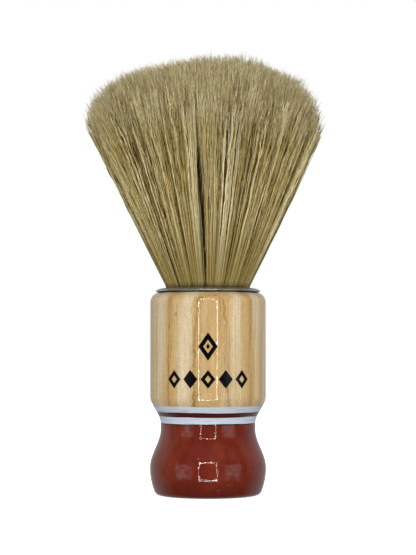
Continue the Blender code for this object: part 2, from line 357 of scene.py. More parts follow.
def ashFinish():
    finish = Finish("ashWood")
    x, y, z = finish.axes(finish.place())
    radius = finish.maths("SQRT", x * x + y * y)
    slow = finish.noise(finish.place((0.05, 0.05, 0.020)), 1.0, 2.0) - 0.5
    jitter = finish.noise(finish.place((0.45, 0.45, 0.26)), 1.0, 3.0, 0.6) - 0.5
    # in the cove the rings are drawn as on the straight barrel above it
    cove = 1.0 - finish.step(z, handle["coveTop"] - 2.2, handle["coveTop"] + 0.3)
    swell = 1.0 + (finish.maths("DIVIDE", handle["barrelRadius"], radius) - 1.0) * cove
    across = x * swell - ash["pith"][0]
    away = y * swell - ash["pith"][1] + ash["lean"] * z
    front = ash["pith"][1] + handle["barrelRadius"] - ash["firstRing"]
    depth = finish.maths("SQRT", across * across + away * away)
    depth = depth + ash["wander"] * slow + 0.60 * jitter - front
    swing = finish.noiseAlong(depth, 0.21, 1.0) - 0.5
    ring = depth / ash["ringGap"] + swing * 0.7 + 100.5
    # each ring line is thin, brown and broken, with a fainter one beside it and a soft darker margin.
    # Two faint threads lie between one line and the next
    off = finish.maths("ABSOLUTE", finish.maths("FRACT", ring) - 0.5) * 2.0
    twin = finish.maths("ABSOLUTE", off - 0.20)
    broken = finish.step(finish.noise(finish.place((0.8, 0.8, 0.16)), 1.0, 2.0), 0.38, 0.62)
    line = (1.0 - finish.step(off, 0.02, 0.12)) * (0.30 + 0.70 * broken)
    line = line + 0.5 * (1.0 - finish.step(twin, 0.01, 0.07)) * (1.0 - broken)
    # near the sides, where the lines crowd, they are fainter
    facing = 1.0 - 0.7 * finish.step(finish.maths("ABSOLUTE", x), 11.0, 15.5)
    late = 1.0 - finish.step(off, 0.02, 0.62)
    minor = finish.maths("ABSOLUTE", finish.maths("FRACT", ring * 3.0 + jitter * 0.9) - 0.5) * 2.0
    thread = 1.0 - finish.step(minor, 0.0, 0.26)
    fibre = finish.noise(finish.place((2.4, 2.4, 0.070)), 1.0, 4.0, 0.72)
    broad = finish.noise(finish.place((0.24, 0.24, 0.012)), 1.0, 2.0)
    dash = finish.noise(finish.place((4.2, 4.2, 0.50)), 1.0, 1.0)
    speck = finish.noise(finish.place((2.3, 2.3, 1.7)), 1.0, 2.0)
    pores = finish.step(dash, 0.58, 0.70) * (0.35 + 0.65 * late)
    body = finish.mix(finish.step(broad + 0.10 * late, 0.40, 0.62), ash["pale"], ash["tan"])
    body = finish.mix((late * 0.15 + line * 0.60 + thread * broken * 0.26) * facing, body, ash["brown"])
    body = finish.mix(pores * facing * 0.42, body, ash["brown"])
    dx, dz = x - ash["pinKnot"][0], (z - ash["pinKnot"][1]) * 0.6
    spot = 1.0 - finish.step(finish.maths("SQRT", dx * dx + dz * dz), 0.12, 0.62)
    inFront = finish.maths("LESS_THAN", y, 0.0)
    body = finish.mix(spot * inFront * 0.5, body, (0.26, 0.13, 0.08))
    # painted shadow on the wood's top under the ferrule's flange, and painted shade on the shoulder just
    # below it
    flangeShadow = finish.step(z, handle["top"] - 0.75, handle["top"] - 0.6)
    flangeShadow = flangeShadow * (1.0 - finish.step(radius + 0.5 * jitter, ash["flangeShadowRadius"] - 0.08, ash["flangeShadowRadius"] + 0.08))
    under = finish.step(z, handle["top"] - 2.4, handle["top"] - 0.4)
    grain = 0.31 + 1.00 * fibre + 0.48 * speck
    colour = finish.tint(body, grain * (1.0 - 0.93 * flangeShadow) * (1.0 - 0.22 * under))
    nibs = finish.noise(finish.place((1.8, 1.8, 1.8)), 1.0, 2.0)
    relief = finish.bump(nibs * 0.85 + pores * -0.10 + fibre * 0.15, 0.0060)
    rough = 0.025 + 0.035 * fibre + 0.5 * flangeShadow
    return finish.finishWith(BaseColor=colour, Roughness=rough, Normal=relief, IOR=1.6)


brick = {
    "base": (0.150, 0.0165, 0.0075),
    "thin": (0.190, 0.028, 0.012),  # where the coat is thinner
    "deep": (0.090, 0.0085, 0.0040),
    "worn": (0.450, 0.300, 0.270),  # the rolled edge that it stands on
    "line": (0.016, 0.008, 0.012),  # painted shade in the seam against the white band
    "seamShadeHeight": 0.32,
    "nibGap": 2.3,
}


def brickFinish():
    finish = Finish("brickLacquer")
    z = finish.axes(finish.place())[2]
    cloud = finish.noise(finish.place(), 0.15, 4.0, 0.6)
    streak = finish.noise(finish.place((0.5, 0.5, 0.10)), 1.0, 2.0)
    colour = finish.mix(finish.step(cloud, 0.42, 0.66), brick["base"], brick["thin"])
    colour = finish.mix(finish.step(streak, 0.50, 0.74) * 0.45, colour, brick["deep"])
    # darker towards the bottom of the foot, where it faces down: painted shade
    colour = finish.mix(0.50 - 0.50 * finish.step(z, 0.4, 6.5), colour, brick["deep"])
    colour = finish.mix(0.40 - 0.40 * finish.step(z, 0.15, 0.60), colour, brick["worn"])
    # a dark line just under the seam with the white band: painted shade in the seam
    edge = seams["lowerBandLow"] - brick["seamShadeHeight"]
    colour = finish.mix(finish.step(z, edge - 0.06, edge + 0.04), colour, brick["line"])
    dust = finish.node("TexVoronoi", None, {"Vector": finish.place(), "Scale": 1.0 / brick["nibGap"]})
    nibAndGlint = 1.0 - finish.step(dust, 0.04, 0.10)
    wave = finish.noise(finish.place((0.40, 0.40, 0.34)), 1.0, 1.0)
    orange = finish.noise(finish.place(), 1.6, 1.0)
    relief = finish.bump(wave * 0.62 + orange * 0.22 + nibAndGlint * 0.16, 0.080)
    # each nib is painted paler: a painted highlight, besides its real bump
    colour = finish.mix(nibAndGlint * 0.40, colour, (0.50, 0.26, 0.20))
    rough = 0.02 + 0.02 * cloud + 0.2 * nibAndGlint
    return finish.finishWith(BaseColor=colour, Roughness=rough, Normal=relief, IOR=1.52)


white = {"base": (0.665, 0.715, 0.805), "worn": (0.50, 0.54, 0.60)}


def whiteFinish():
    finish = Finish("whiteLacquer")
    brushed = finish.noise(finish.place((0.20, 0.20, 3.2)), 1.0, 3.0, 0.6)
    cloud = finish.noise(finish.place(), 0.35, 3.0)
    colour = finish.mix(finish.step(brushed, 0.45, 0.75) * 0.8, white["base"], white["worn"])
    relief = finish.bump(brushed * 0.7 + cloud * 0.3, 0.012)
    return finish.finishWith(BaseColor=colour, Roughness=0.25 + 0.15 * cloud, Normal=relief, IOR=1.5)


dark = {"edge": (0.010, 0.005, 0.006), "middle": (0.080, 0.0085, 0.0060), "sheen": (0.11, 0.018, 0.012)}


def darkFinish(low, high):
    # a brown ring with a darker line along both edges: painted shade in the seams
    finish = Finish("darkLacquer")
    z = finish.axes(finish.place())[2]
    share = (z - low) / (high - low)
    middle = finish.step(share, 0.12, 0.32) * (1.0 - finish.step(share, 0.70, 0.88))
    cloud = finish.noise(finish.place((0.5, 0.5, 2.0)), 1.0, 3.0)
    # outside the middle, the edge colour is painted shade in the seams
    colour = finish.mix(middle, dark["edge"], dark["middle"])
    colour = finish.mix(finish.step(cloud, 0.5, 0.8) * middle * 0.6, colour, dark["sheen"])
    relief = finish.bump(cloud, 0.01)
    return finish.finishWith(BaseColor=colour, Roughness=0.14 + 0.1 * cloud, Normal=relief, IOR=1.5)


ink = {"black": (0.0018, 0.0018, 0.0026), "thin": (0.0050, 0.0048, 0.0062)}


def inkFinish():
    finish = Finish("printInk")
    cloud = finish.noise(finish.place((1.0, 1.0, 0.7)), 1.3, 3.0)
    colour = finish.mix(finish.step(cloud, 0.5, 0.75), ink["black"], ink["thin"])
    relief = finish.bump(finish.noise(finish.place((1.4, 1.4, 0.9)), 1.0, 2.0), 0.006)
    return finish.finishWith(BaseColor=colour, Roughness=0.10 + 0.10 * cloud, Normal=relief, Specular=0.2)


metal = {"bright": (0.58, 0.59, 0.62), "dull": (0.40, 0.41, 0.43)}


def metalFinish():
    finish = Finish("spunAluminium")
    x, y, z = finish.axes(finish.place())
    radius = finish.maths("SQRT", x * x + y * y)
    lathe = finish.noiseAlong(radius + z * 0.8, 7.0, 2.0)
    smear = finish.noise(finish.place(), 0.5, 4.0, 0.6)
    scratch = finish.step(finish.noise(finish.place((0.5, 2.6, 1.5)), 1.0, 2.0), 0.62, 0.68)
    colour = finish.mix(finish.step(smear, 0.45, 0.72) * 0.5, metal["bright"], metal["dull"])
    relief = finish.bump(lathe * 0.6 + scratch * 0.25 + smear * 0.15, 0.004)
    return finish.finishWith(
        BaseColor=colour, Roughness=0.27 + 0.12 * smear + 0.1 * scratch, Normal=relief, Metallic=1.0
    )


def resinFinish():
    finish = Finish("castResin")
    cloud = finish.noise(finish.place(), 0.5, 3.0)
    bubble = finish.node("TexVoronoi", None, {"Vector": finish.place(), "Scale": 0.9})
    pit = 1.0 - finish.step(bubble, 0.10, 0.25)
    colour = finish.mix(cloud, (0.040, 0.022, 0.012), (0.095, 0.055, 0.030))
    return finish.finishWith(
        BaseColor=colour, Roughness=0.15 + 0.3 * cloud, Normal=finish.bump(cloud - pit * 0.5, 0.2), IOR=1.52
    )


def glueFinish():
    finish = Finish("paleGlue")
    cloud = finish.noise(finish.place(), 0.4, 4.0)
    colour = finish.mix(cloud, (0.44, 0.34, 0.17), (0.62, 0.53, 0.33))
    return finish.finishWith(BaseColor=colour, Roughness=0.25 + 0.3 * cloud, Normal=finish.bump(cloud, 0.3))


def twineFinish():
    finish = Finish("waxedTwine")
    x, y, z = finish.axes(finish.place())
    turn = finish.maths("ARCTAN2", y, x)
    ply = finish.maths("SINE", turn * 90.0 + z * 9.0)
    fluff = finish.noise(finish.place(), 4.0, 3.0)
    colour = finish.mix(0.5 + 0.5 * ply, (0.34, 0.26, 0.16), (0.62, 0.52, 0.36))
    return finish.finishWith(
        BaseColor=colour, Roughness=0.6 + 0.25 * fluff, Normal=finish.bump(0.6 * ply + 0.4 * fluff, 0.12)
    )


handle = {
    "bulgeRadius": 16.6,
    "bulgeHeight": 7.7,
    "footRound": 1.9,
    "footDraw": 1.2,
    "footLip": 1.27,
    "neckRadius": 13.55,
    "neckLow": 18.9,
    "neckHigh": 20.3,
    "coveTop": 28.2,
    "shoulderRound": 2.9,
    "coat": 0.3,
    "underCoat": 0.32,  # how far the wood stands back under the lacquer
    "socketRadius": 13.3,
}
handle["top"] = height("handle", 1)
handle["barrelRadius"] = reach("handle")
handle["socketFloor"] = height("glue_bed", 0) - 0.3

# heights where one finish ends and the next begins, upwards
seams = {
    "lowerBandLow": (height("foot_lacquer", 1) + height("lower_white_band", 0)) / 2,
    "darkLow": (height("lower_white_band", 1) + height("dark_line", 0)) / 2,
    "darkHigh": (height("dark_line", 1) + height("upper_white_band", 0)) / 2,
    "upperBandHigh": height("upper_white_band", 1) + 0.15,
}


def ogee(low, high, share):
    # a cosine sweep from low at share 0 to high at share 1
    return low + (high - low) * (1 - np.cos(np.pi * np.clip(share, 0, 1))) / 2


def handleRadius(z):
    # the outside of the handle above the foot's lip: a parabola below the bulge, a cosine waist, a straight
    # neck, a cosine cove, the straight barrel and a quarter circle for the shoulder
    h = handle
    shoulder = h["top"] - h["shoulderRound"]
    below = (h["bulgeHeight"] - z) / (h["bulgeHeight"] - h["footLip"])
    foot = h["bulgeRadius"] - h["footDraw"] * below**2
    above = (z - h["bulgeHeight"]) / (h["neckLow"] - h["bulgeHeight"])
    waist = ogee(h["bulgeRadius"], h["neckRadius"], above)
    cove = ogee(h["neckRadius"], h["barrelRadius"], (z - h["neckHigh"]) / (h["coveTop"] - h["neckHigh"]))
    drop = np.sqrt(np.clip(h["shoulderRound"] ** 2 - (z - shoulder) ** 2, 0, None))
    cap = h["barrelRadius"] - h["shoulderRound"] + drop
    return np.select([z > shoulder, z > h["neckHigh"], z > h["bulgeHeight"]], [cap, cove, waist], foot)


def footEdge(inset, lowest, count=12):
    # the rolled edge between the foot's flat and its lip
    h = handle
    lean = math.atan(2 * h["footDraw"] / (h["bulgeHeight"] - h["footLip"]))
    centre = handleRadius(np.array(h["footLip"])) - h["footRound"] * math.cos(lean)
    start = math.degrees(math.asin(1 - lowest / h["footRound"]))
    r, z = arc((centre, h["footRound"]), h["footRound"], -start, -math.degrees(lean), count)
    return r - inset, z


def outside(low, high, count, inset=0.0):
    z = np.linspace(low, high, count)
    return handleRadius(z) - inset, z


def makeHandle():
    h = handle
    under = h["underCoat"]
    shoulder = h["top"] - h["shoulderRound"]
    centre = h["barrelRadius"] - h["shoulderRound"]
    runs = [
        (0.0, 0.0),
        footEdge(under, 0.0),
        outside(h["footLip"], seams["upperBandHigh"], 90, under),
        outside(seams["upperBandHigh"] + 0.02, h["coveTop"], 10),
        outside(h["coveTop"] + 0.6, shoulder, 40),
        arc((centre, shoulder), h["shoulderRound"], 6, 90, 15),
        arc((h["socketRadius"] + 0.2, h["top"] - 0.2), 0.2, 90, 180, 4),
        (h["socketRadius"], h["socketFloor"]),
        (0.0, h["socketFloor"]),
    ]
    r, z = joined(*runs)
    piece = turnedPiece("handleWood", r, z, ashFinish())
    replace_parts(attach(piece, "handle_body"), "handle")


# how far each painted seam strays from level: sizes and counts of a few waves round the neck
brushWork = {"size": 0.045, "waves": (2, 3, 5, 9, 14)}


def stray(number, angle):
    # sum of sines with falling size, its own set of phases for each seam
    phases = np.random.default_rng(number).uniform(0, 2 * np.pi, len(brushWork["waves"]))
    total = sum(np.sin(n * angle + p) / math.sqrt(n) for n, p in zip(brushWork["waves"], phases))
    return brushWork["size"] * total


def makeCoat(name, node, material, low, high, seamBelow, seamAbove, rows):
    # a shell on the handle between two seams that stray a little: up its outer wall and down its inner one
    if seamBelow is None:
        r, z = joined(footEdge(0.0, 0.05), outside(handle["footLip"], high, rows))
    else:
        r, z = outside(low, high, rows)
    share = (z - z[0]) / (z[-1] - z[0])
    # the film thins to a soft edge at each seam
    edge = np.minimum(np.abs(z - z[0]) if seamBelow is not None else 1.0, np.abs(z[-1] - z))
    outer = r - 0.05 * np.exp(-((edge / 0.06) ** 2))
    r, z, share = np.r_[outer, r[::-1] - handle["coat"]], np.r_[z, z[::-1]], np.r_[share, share[::-1]]

    def wobble(angle):
        below = 0 if seamBelow is None else stray(seamBelow, angle)
        return (1 - share)[:, None] ** 4 * below + share[:, None] ** 4 * stray(seamAbove, angle)

    piece = turnedPiece(name, r, z, material, ring=True, sides=256, wobble=wobble)
    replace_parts(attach(piece, "handle_body"), node)


def makeCoats():
    s, gap, paint = seams, 0.01, whiteFinish()
    line = darkFinish(s["darkLow"], s["darkHigh"])
    redSlot, whiteSlot, darkSlot = "brick_lacquer", "white_lacquer", "dark_lacquer"
    # piece, CAD node, slot, finish, lowest, highest, seam below, seam above, rows
    coats = [
        ("footLacquer", "foot_lacquer", redSlot, brickFinish(), 0, s["lowerBandLow"], None, 1, 110),
        ("lowerWhiteBand", "lower_white_band", whiteSlot, paint, s["lowerBandLow"], s["darkLow"], 1, 2, 24),
        ("darkLine", "dark_line", darkSlot, line, s["darkLow"], s["darkHigh"], 2, 3, 16),
        ("upperWhiteBand", "upper_white_band", whiteSlot, paint, s["darkHigh"], s["upperBandHigh"], 3, 4, 24),
    ]
    for name, node, slot, material, low, high, below, above, rows in coats:
        makeCoat(name, node, material, low + gap, high - gap, below, above, rows)


mark = {
    "jewelAt": 42.3,  # height of the large lozenge
    "jewel": (5.4, 7.9),
    "jewelStroke": 1.15,
    "pip": (1.1, 1.7),
    "rowAt": 33.2,  # height of the row of five
    "rowGap": 5.0,
    "bead": (4.15, 5.2),
    "beadStroke": 0.95,
    "film": 0.03,
    "clear": 0.012,  # gap under the film
    "steps": 12,  # points along each side of an outline
    "grid": 9,  # points across a filled lozenge
}


def onBarrel(across, up, lift):
    # wraps flat places onto the barrel: angle = across / radius
    angle = across / handle["barrelRadius"]
    r = handle["barrelRadius"] + mark["clear"] + lift
    return np.stack([r * np.sin(angle), -r * np.cos(angle), up], -1)


def loopShape(centre, size, stroke):
    # a lozenge's outline as a film: four edge lines, outside and inside, front and back, carried once round
    count = 4 * mark["steps"]
    turn = np.arange(count) / mark["steps"]
    side, share = turn.astype(int), turn % 1
    corners = np.array([[1, 0], [0, 1], [-1, 0], [0, -1], [1, 0]]) / 2 * size
    path = corners[side] + (corners[side + 1] - corners[side]) * share[:, None]
    inner = path * (1 - stroke * 2 * np.hypot(*size) / (size[0] * size[1]))
    lines = [(path, mark["film"]), (inner, mark["film"]), (inner, 0.0), (path, 0.0)]
    points = np.stack([onBarrel(centre[0] + p[:, 0], centre[1] + p[:, 1], lift) for p, lift in lines])
    row, column = np.arange(4)[:, None], np.arange(count)[None, :]
    after = (column + 1) % count
    here, below = row * count, (row + 1) % 4 * count
    faces = np.stack([here + column, here + after, below + after, below + column], -1)
    return points.reshape(-1, 3), faces.reshape(-1, 4)


def solidShape(centre, size):
    # a filled lozenge as a film: a square grid sheared so that its corners point up, down and sideways
    grid = mark["grid"]
    s, t = np.meshgrid(np.linspace(-1, 1, grid), np.linspace(-1, 1, grid))
    across, up = centre[0] + (s - t) * size[0] / 4, centre[1] + (s + t) * size[1] / 4
    index = np.arange(grid**2).reshape(grid, grid)
    front = np.stack([index[:-1, :-1], index[:-1, 1:], index[1:, 1:], index[1:, :-1]], -1).reshape(-1, 4)
    loop = np.concatenate([index[0, :-1], index[:-1, -1], index[-1, :0:-1], index[:0:-1, 0]])
    after = np.roll(loop, -1)
    behind = grid**2
    wall = np.stack([after, loop, loop + behind, after + behind], -1)
    points = [onBarrel(across, up, lift).reshape(-1, 3) for lift in (mark["film"], 0.0)]
    return np.concatenate(points), np.concatenate([front, front[:, ::-1] + behind, wall])


def makeMark():
    jewel = (0.0, mark["jewelAt"])
    shapes = [loopShape(jewel, mark["jewel"], mark["jewelStroke"]), solidShape(jewel, mark["pip"])]
    for n in range(-2, 3):
        bead = (n * mark["rowGap"], mark["rowAt"])
        if n % 2:
            shapes.append(solidShape(bead, mark["bead"]))
        else:
            shapes.append(loopShape(bead, mark["bead"], mark["beadStroke"]))
    counts = np.cumsum([0] + [len(points) for points, _ in shapes])
    faces = [f + first for (_, f), first in zip(shapes, counts)]
    points = np.concatenate([points for points, _ in shapes])
    piece = makePiece("printedOrnament", points, np.concatenate(faces).tolist(), inkFinish())
    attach(piece, "handle_body")


ferrule = {"wall": 0.5, "crimp": 0.9, "rim": 0.3, "rimRound": 0.15, "mouthRound": 0.35, "flatness": 1.3}
ferrule["flange"] = reach("ferrule")
ferrule["seat"] = handle["top"] + 0.12
ferrule["top"] = height("ferrule", 1) - 0.8
ferrule["end"] = height("ferrule", 0)
ferrule["bore"] = reach("resin_plug") + 0.3


def makeFerrule():
    f = ferrule
    bore, seat, rim = f["bore"], f["seat"], f["rimRound"]
    # from the rim the flange rises to its crest, then rolls over into the bore: a quarter of an ellipse
    # with its cosine and sine raised to a power, which flattens it towards a cone
    turn = np.linspace(0, np.pi / 2, 24)[1:-1]
    crest, shelf = bore + f["mouthRound"] + 0.2, seat + f["rim"]
    slope = (
        crest + (f["flange"] - crest) * np.cos(turn) ** f["flatness"],
        shelf + (f["top"] - shelf) * np.sin(turn) ** f["flatness"],
    )
    runs = [
        (f["bore"] + f["wall"], f["end"] + 0.1),
        (f["bore"] + f["wall"], seat),
        arc((f["flange"] - rim, seat + rim), rim, -90, 20, 7),
        slope,
        arc((bore + f["mouthRound"], f["top"] - f["mouthRound"]), f["mouthRound"], 90, 180, 9),
        (bore, f["end"] + f["wall"]),
        (bore - f["crimp"], f["end"] + f["wall"]),
        (bore - f["crimp"], f["end"]),
        (bore + f["wall"] - 0.1, f["end"]),
    ]
    r, z = joined(*runs)
    piece = turnedPiece("ferruleSpun", r, z, metalFinish(), ring=True, sides=224)
    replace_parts(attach(piece, "handle_body"), "ferrule")


fan = {
    "mouth": 59.45,
    "knotRadius": 11.95,
    "slope": 0.515,  # outward run for each unit of height
    "droop": 0.0006,  # how much the slope eases
    "domeRadius": 34.0,
    "domeHeight": 22.0,
    "domeCentre": 104.9,
    # how much the tips stand proud of that dome, by share of the radius
    "crown": (
        (0.0, 0.20, 0.35, 0.53, 0.64, 0.76, 0.87, 0.94, 1.0),
        (-2.0, -2.1, -1.95, -0.90, 0.55, 1.2, 1.8, 1.8, 1.1),
    ),
    "lean": -0.7,  # how far the rim leans to the left
    "peak": {"across": 9.5, "rise": 2.7, "spread": 7.1},  # the highest tips are a little to the right
    "rightDrop": 2.1,  # the rim stands lower on the right
    "rootDepth": 1.3,  # how far the strands reach below the mouth
    "bendEnd": 56.0,  # height above the mouth where they follow the head wholly
}
strands = {
    "seed": 7,
    "count": 15500,
    "locks": 4000,
    "bundles": 130,
    "rootThick": 0.118,
    "tipThick": 0.066,
    # rings along a strand: all of them on the outside, fewer where less of its length shows
    "stations": 33,
    "depths": (
        {"from": 0.90, "to": 9.0, "keep": tuple(range(33))},
        {"from": 0.72, "to": 0.90, "keep": (0, 7, 13, 17, 20, 23, 26, 28, 30, 32)},
        {"from": 0.0, "to": 0.72, "keep": (0, 14, 22, 27, 30, 32)},
    ),
    "sectors": 8,
    # how strongly strands gather to their lock, drawn once for each lock, and along their length
    "hold": (0.40, 0.88),
    "pull": ((0, 0.10, 0.4, 0.8, 1.0), (0, 0.30, 0.95, 1.00, 0.85)),
    # the same towards their bundle
    "gather": ((0, 0.2, 0.7, 1.0), (0, 0.04, 0.10, 0.08)),
    "tipCurl": 0.016,
    "wild": {"share": 0.012, "size": 0.03},  # strands that stray from the rest
    "short": {"usual": 0.006, "share": 0.18, "range": (0, 0.09)},  # how far strands stop short of the dome
    "tuft": {"lock": 0.0058, "bundle": 0.003},  # unevenness of the tips
    "proud": {"share": 0.008, "range": (0, 0.015)},
    "tone": {"middle": 0.50, "strand": 0.22, "lock": 0.19, "bundle": 0.05},
    "toneRange": (0.06, 0.94),
    "black": {"share": 0.010, "tone": 0.012},
    "rust": {"share": 0.010, "tone": 0.985},
}
# the finer hairs at the tips: how far they start below a tip, and how far they may stray outwards
flags = {"count": 17000, "thick": 0.036, "spread": 0.55, "start": (0.5, 3.2), "outward": 0.45}
# gaps that run up the outside: angle from the front in degrees at the mouth and at the rim, half width in
# degrees, lowest and highest share of the length
partings = [
    {"low": -2.5, "high": -6, "width": 1.35, "from": 0.00, "to": 0.78},
    {"low": -44, "high": -40, "width": 0.20, "from": 0.06, "to": 0.92},
    {"low": 43, "high": 38, "width": 0.62, "from": 0.14, "to": 1.00},
    {"low": -27, "high": -28, "width": 0.14, "from": 0.40, "to": 0.85},
    {"low": 104, "high": 98, "width": 0.8, "from": 0.10, "to": 0.90},
    {"low": 163, "high": 168, "width": 1.3, "from": 0.03, "to": 0.80},
    {"low": -95, "high": -88, "width": 0.7, "from": 0.20, "to": 0.94},
    {"low": -150, "high": -141, "width": 0.8, "from": 0.10, "to": 0.86},
]


def sunflower(count, jitter, random):
    # evenly spread points in the unit disc: radius = sqrt(n / count), turned by the golden angle each time
    n = np.arange(count) + 0.5
    r, angle = np.sqrt(n / count), n * np.pi * (3 - np.sqrt(5))
    spread = np.stack([r * np.cos(angle), r * np.sin(angle)], -1)
    spread += random.normal(0, jitter / np.sqrt(count), (count, 2))
    size = np.linalg.norm(spread, axis=1, keepdims=True)
    return spread / np.maximum(size, 1)


def nearest(points, centres):
    # for each point, the index of the closest centre
    away = (points**2).sum(1)[:, None] - 2 * points @ centres.T + (centres**2).sum(1)
    return away.argmin(1)


def fanWidth(rise):
    # radius of the fan's outside at a height above the mouth
    return fan["knotRadius"] + fan["slope"] * rise - fan["droop"] * rise**2


def tipRise(root):
    # height above the mouth where a straight strand meets the dome, from its place in the unit disc: the
    # positive root of a quadratic, then the crown's correction, the peak and the drop on the right
    ring = np.minimum(np.linalg.norm(root, axis=1), 1.0)
    w, s, c = fan["knotRadius"], fan["slope"] - 20 * fan["droop"], fan["domeCentre"] - fan["mouth"]
    across, up = ring**2 / fan["domeRadius"] ** 2, 1 / fan["domeHeight"] ** 2
    a = across * s**2 + up
    b = 2 * across * w * s - 2 * c * up
    k = across * w**2 + c**2 * up - 1
    rise = (-b + np.sqrt(np.maximum(b**2 - 4 * a * k, 0))) / (2 * a)
    peak = fan["peak"]
    away = np.linalg.norm(root * fan["domeRadius"] - [peak["across"], 0], axis=1) / peak["spread"]
    drop = fan["rightDrop"] * np.clip((root[:, 0] - 0.66) / 0.25, 0, 1)
    return rise + np.interp(ring, *fan["crown"]) + peak["rise"] * np.exp(-(away**2)) - drop


def openPartings(spot, share):
    # moves strands aside from each gap's line; spot is (strand, station, 2) in the unit disc. Outer strands
    # that lie in a gap follow its line; the share of the length where each gap closes is given back for them
    ring = np.linalg.norm(spot, axis=-1)
    angle = np.degrees(np.arctan2(spot[..., 0], -spot[..., 1]))
    shift = np.zeros_like(angle)
    closes = np.zeros(len(spot))
    middle = spot.shape[1] // 2
    for gap in partings:
        line = gap["low"] + (gap["high"] - gap["low"]) * share
        off = (angle - line + 180) % 360 - 180
        run = np.clip((share - gap["from"]) / 0.10, 0, 1) * np.clip((gap["to"] - share) / 0.25, 0, 1)
        deep = np.clip((ring - 0.55) / 0.25, 0, 1)
        caught = (np.abs(off[:, middle]) < gap["width"] * 0.7) & (ring[:, middle] > 0.84)
        move = np.sign(off) * gap["width"] * run * deep * np.exp(-np.abs(off) / 6.0)
        move[caught] = -off[caught] * 0.75
        shift += move
        closes[caught] = gap["to"] - 0.05
    turned = np.radians(angle + shift)
    return np.stack([np.sin(turned), -np.cos(turned)], -1) * ring[..., None], closes


def strandPaths(random):
    # centre lines as (strand, station, 3), with each strand's tone and its place in the disc
    count = strands["count"]
    root = sunflower(count, 0.45, random)
    locks = sunflower(strands["locks"], 0.60, random)
    bundles = sunflower(strands["bundles"], 0.6, random)
    lock = nearest(root, locks)
    bundle = nearest(root, bundles)
    share = np.linspace(0, 1, strands["stations"])[None, :]
    # strands gather towards their lock in the middle of their length and spread again at the tip
    hold = random.uniform(*strands["hold"], len(locks))[lock][:, None]
    pull = hold * np.interp(share, *strands["pull"])
    gather = np.interp(share, *strands["gather"])
    path = root[:, None] + (locks[lock] - root)[:, None] * pull[..., None]
    path = path + (bundles[bundle] - root)[:, None] * gather[..., None]
    # locks drift sideways as they rise and wave a little; each strand does the same by less, and is crimped
    each = np.arange(count)
    sway = (
        {"who": lock, "many": len(locks), "drift": 0.009, "wave": 0.0050, "beats": (12, 40), "grow": 1.0},
        {"who": each, "many": count, "drift": 0.006, "wave": 0.0030, "beats": (12, 40), "grow": 0.8},
        {"who": each, "many": count, "drift": 0.0, "wave": 0.0036, "beats": (50, 95), "grow": 1.5},
    )
    for s in sway:
        drift = random.normal(0, s["drift"], (s["many"], 2))[s["who"]]
        wave = random.normal(0, s["wave"], (s["many"], 2))[s["who"]]
        rate = random.uniform(*s["beats"], s["many"])[s["who"]][:, None]
        beat = np.sin(share * rate + random.uniform(0, 6.3, s["many"])[s["who"]][:, None])
        path = path + drift[:, None] * (share**1.6)[..., None]
        path = path + wave[:, None] * (beat * share ** s["grow"])[..., None]
    path = path + random.normal(0, strands["tipCurl"], (count, 1, 2)) * (share**8)[..., None]
    wild = random.random(count) < strands["wild"]["share"]
    path[wild] += random.normal(0, strands["wild"]["size"], (wild.sum(), 1, 2)) * (share**2)[..., None]
    path, closes = openPartings(path, np.broadcast_to(share, path.shape[:2]))
    ring = np.linalg.norm(path, axis=-1, keepdims=True)
    path /= np.maximum(ring / 1.006, 1)
    # most strands end on the dome and some stop short of it
    short, tuft, proud = strands["short"], strands["tuft"], strands["proud"]
    lost = random.exponential(short["usual"], count)
    lost = lost + (random.random(count) < short["share"]) * random.uniform(*short["range"], count)
    uneven = random.normal(0, tuft["lock"], len(locks))[lock]
    uneven = uneven + random.normal(0, tuft["bundle"], len(bundles))[bundle]
    longer = (random.random(count) < proud["share"]) * random.uniform(*proud["range"], count)
    length = tipRise(root) * (1.004 - np.minimum(lost, 0.3) + uneven + longer)
    length = np.where(closes > 0, length * closes, length)
    rise = -fan["rootDepth"] + (length[:, None] + fan["rootDepth"]) * share
    width = fanWidth(np.maximum(rise, 0))
    lean = fan["lean"] * np.clip(rise / 45, 0, 1) ** 2
    points = np.stack([path[..., 0] * width + lean, path[..., 1] * width, fan["mouth"] + rise], -1)
    shade = strands["tone"]
    tone = shade["middle"] + random.normal(0, shade["strand"], count)
    tone = tone + random.normal(0, shade["lock"], len(locks))[lock]
    tone += random.normal(0, shade["bundle"], len(bundles))[bundle]
    tone = np.clip(tone, *strands["toneRange"])
    odd, black, rust = random.random(count), strands["black"], strands["rust"]
    # strands caught in a parting are made black: painted shade in the gap; the few drawn at random are real
    # black hairs
    tone[(odd < black["share"]) | (closes > 0)] = black["tone"]
    tone[(odd > black["share"]) & (odd < black["share"] + rust["share"])] = rust["tone"]
    return points, tone, np.linalg.norm(root, axis=1)


def splitTips(points, tone, random):
    # finer hairs that leave a strand near its tip and spread
    chosen = random.integers(0, len(points), flags["count"])
    end = points[chosen, -1]
    along = end - points[chosen, -4]
    along /= np.linalg.norm(along, axis=1, keepdims=True)
    start = end - along * random.uniform(*flags["start"], (flags["count"], 1))
    away = random.normal(0, flags["spread"], (flags["count"], 3)) * [1, 1, 0.35]
    outward = end * [1, 1, 0] / np.maximum(np.linalg.norm(end[:, :2], axis=1, keepdims=True), 1)
    away -= outward * np.maximum((away * outward).sum(1, keepdims=True) - flags["outward"], 0)
    tip = end + away + along * random.normal(0.0, 0.40, (flags["count"], 1))
    middle = (start + tip) / 2 + along * 0.25
    tipTone = tone[chosen] + random.normal(0, 0.12, flags["count"])
    return np.stack([start, middle, tip], 1), np.clip(tipTone, *strands["toneRange"])


